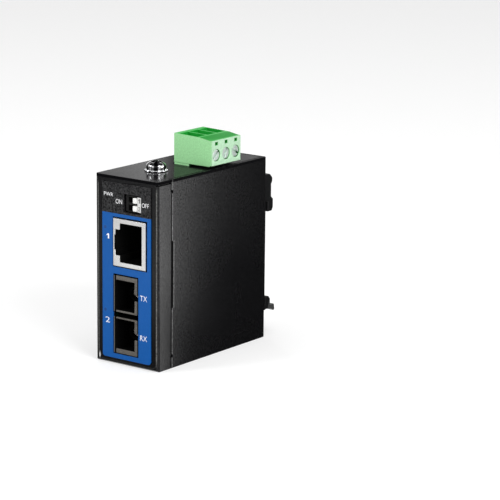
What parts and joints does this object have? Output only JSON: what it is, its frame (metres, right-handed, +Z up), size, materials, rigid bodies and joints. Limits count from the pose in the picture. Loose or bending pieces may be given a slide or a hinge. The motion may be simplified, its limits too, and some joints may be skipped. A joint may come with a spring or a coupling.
{
  "type": "fibre media converter",
  "caption": "Slim metal case that turns a copper network port into a duplex fibre port, with a pluggable power terminal, an earth screw and a sprung rail clip.",
  "frame": {"origin": "centre of the case's underside, on the surface that it stands on", "axes": "+X to the right seen from the front, +Y from the front to the rail clip, +Z up"},
  "size_m": [0.0256, 0.0677, 0.0714],
  "materials": {
    "case_paint": "satin black paint",
    "cover_paint": "fine textured black paint",
    "label_print": "printed film, blue field under a black one",
    "steel": "plated steel",
    "chrome": "bright plated",
    "board": "green laminate",
    "liner": "fibre sheet",
    "jack_metal": "bright tin plate",
    "black_moulding": "moulded black",
    "gold_contact": "gold plated",
    "tin_lead": "tinned",
    "nose_moulding": "moulded dark grey",
    "optic_metal": "plain steel",
    "ceramic": "white ceramic",
    "switch_moulding": "moulded black",
    "lever_moulding": "moulded white",
    "green_moulding": "moulded green",
    "clip_moulding": "moulded black",
    "spring_steel": "spring wire",
    "chip_moulding": "moulded package",
    "lens": "clear diffused"
  },
  "bodies": {
    "case": {"chassis": "case_paint", "cover": "cover_paint", "cover_screws": "steel", "front_label": "label_print", "circuit_board": "board", "board_standoffs": "steel", "board_screws": "steel", "insulating_sheet": "liner", "power_light": "lens", "port_1_light": "lens", "port_2_light": "lens", "jack_shield": "jack_metal", "jack_insert": "black_moulding", "jack_contacts": "gold_contact", "transceiver_nose": "nose_moulding", "ferrule_sleeves": "ceramic", "transceiver_body": "optic_metal", "laser_can": "gold_contact", "photodiode_can": "gold_contact", "driver_board": "board", "transceiver_pins": "tin_lead", "switch_body": "switch_moulding", "switch_leads": "tin_lead", "terminal_header": "green_moulding", "header_pins": "tin_lead", "earth_nut": "steel", "rail_clip": "clip_moulding", "latch_spring": "spring_steel", "clip_screws": "steel", "clip_nuts": "steel", "lan_transformer": "chip_moulding", "converter_chip": "chip_moulding", "memory_chip": "chip_moulding", "power_inductor": "chip_moulding", "crystal": "steel", "fuse": "chip_moulding", "capacitors": "steel"},
    "lever_1": {"switch_lever_1": "lever_moulding"},
    "lever_2": {"switch_lever_2": "lever_moulding"},
    "plug": {"terminal_plug": "green_moulding", "plug_contacts": "tin_lead"},
    "earth_washer": {"toothed_washer": "chrome"},
    "earth_screw": {"earth_screw": "chrome"},
    "latch": {"rail_latch": "clip_moulding"},
    "clamp_screw_1": {"clamp_screw_1": "steel"},
    "clamp_cage_1": {"clamp_cage_1": "steel"},
    "clamp_screw_2": {"clamp_screw_2": "steel"},
    "clamp_cage_2": {"clamp_cage_2": "steel"},
    "clamp_screw_3": {"clamp_screw_3": "steel"},
    "clamp_cage_3": {"clamp_cage_3": "steel"}
  },
  "joints": [
    {"name": "switch_slide_1", "type": "slide", "parent": "case", "child": "lever_1", "axis": [-1, 0, 0], "range_m": [0, 0.0022]},
    {"name": "switch_slide_2", "type": "slide", "parent": "case", "child": "lever_2", "axis": [-1, 0, 0], "range_m": [0, 0.0022]},
    {"name": "plug_pull", "type": "slide", "parent": "case", "child": "plug", "axis": [0, 0, 1], "range_m": [0, 0.012]},
    {"name": "clamp_turn_1", "type": "hinge", "parent": "plug", "child": "clamp_screw_1", "pos_m": [0.0104, 0.00202, 0.0655], "axis": [-1, 0, 0], "range_deg": [0, 1585]},
    {"name": "clamp_rise_1", "type": "slide", "parent": "plug", "child": "clamp_cage_1", "axis": [1, 0, 0], "range_m": [0, 0.0022]},
    {"name": "clamp_turn_2", "type": "hinge", "parent": "plug", "child": "clamp_screw_2", "pos_m": [0.0104, 0.0071, 0.0655], "axis": [-1, 0, 0], "range_deg": [0, 1585]},
    {"name": "clamp_rise_2", "type": "slide", "parent": "plug", "child": "clamp_cage_2", "axis": [1, 0, 0], "range_m": [0, 0.0022]},
    {"name": "clamp_turn_3", "type": "hinge", "parent": "plug", "child": "clamp_screw_3", "pos_m": [0.0104, 0.01218, 0.0655], "axis": [-1, 0, 0], "range_deg": [0, 1585]},
    {"name": "clamp_rise_3", "type": "slide", "parent": "plug", "child": "clamp_cage_3", "axis": [1, 0, 0], "range_m": [0, 0.0022]},
    {"name": "earth_lift", "type": "slide", "parent": "case", "child": "earth_washer", "axis": [0, 0, 1], "range_m": [0, 0.003]},
    {"name": "earth_turn", "type": "hinge", "parent": "earth_washer", "child": "earth_screw", "pos_m": [0.0003, -0.014, 0.0613], "axis": [0, 0, 1], "range_deg": [0, 1801]},
    {"name": "latch_slide", "type": "slide", "parent": "case", "child": "latch", "axis": [0, 0, -1], "range_m": [0, 0.004], "stiffness_N_per_m": 800, "springref_m": -0.002, "deforming": ["latch_spring"]}
  ],
  "couplings": [
    {"joint": "clamp_turn_1", "follows": "clamp_rise_1", "rad_per_m": 12566},
    {"joint": "clamp_turn_2", "follows": "clamp_rise_2", "rad_per_m": 12566},
    {"joint": "clamp_turn_3", "follows": "clamp_rise_3", "rad_per_m": 12566},
    {"joint": "earth_turn", "follows": "earth_lift", "rad_per_m": 10472}
  ]
}
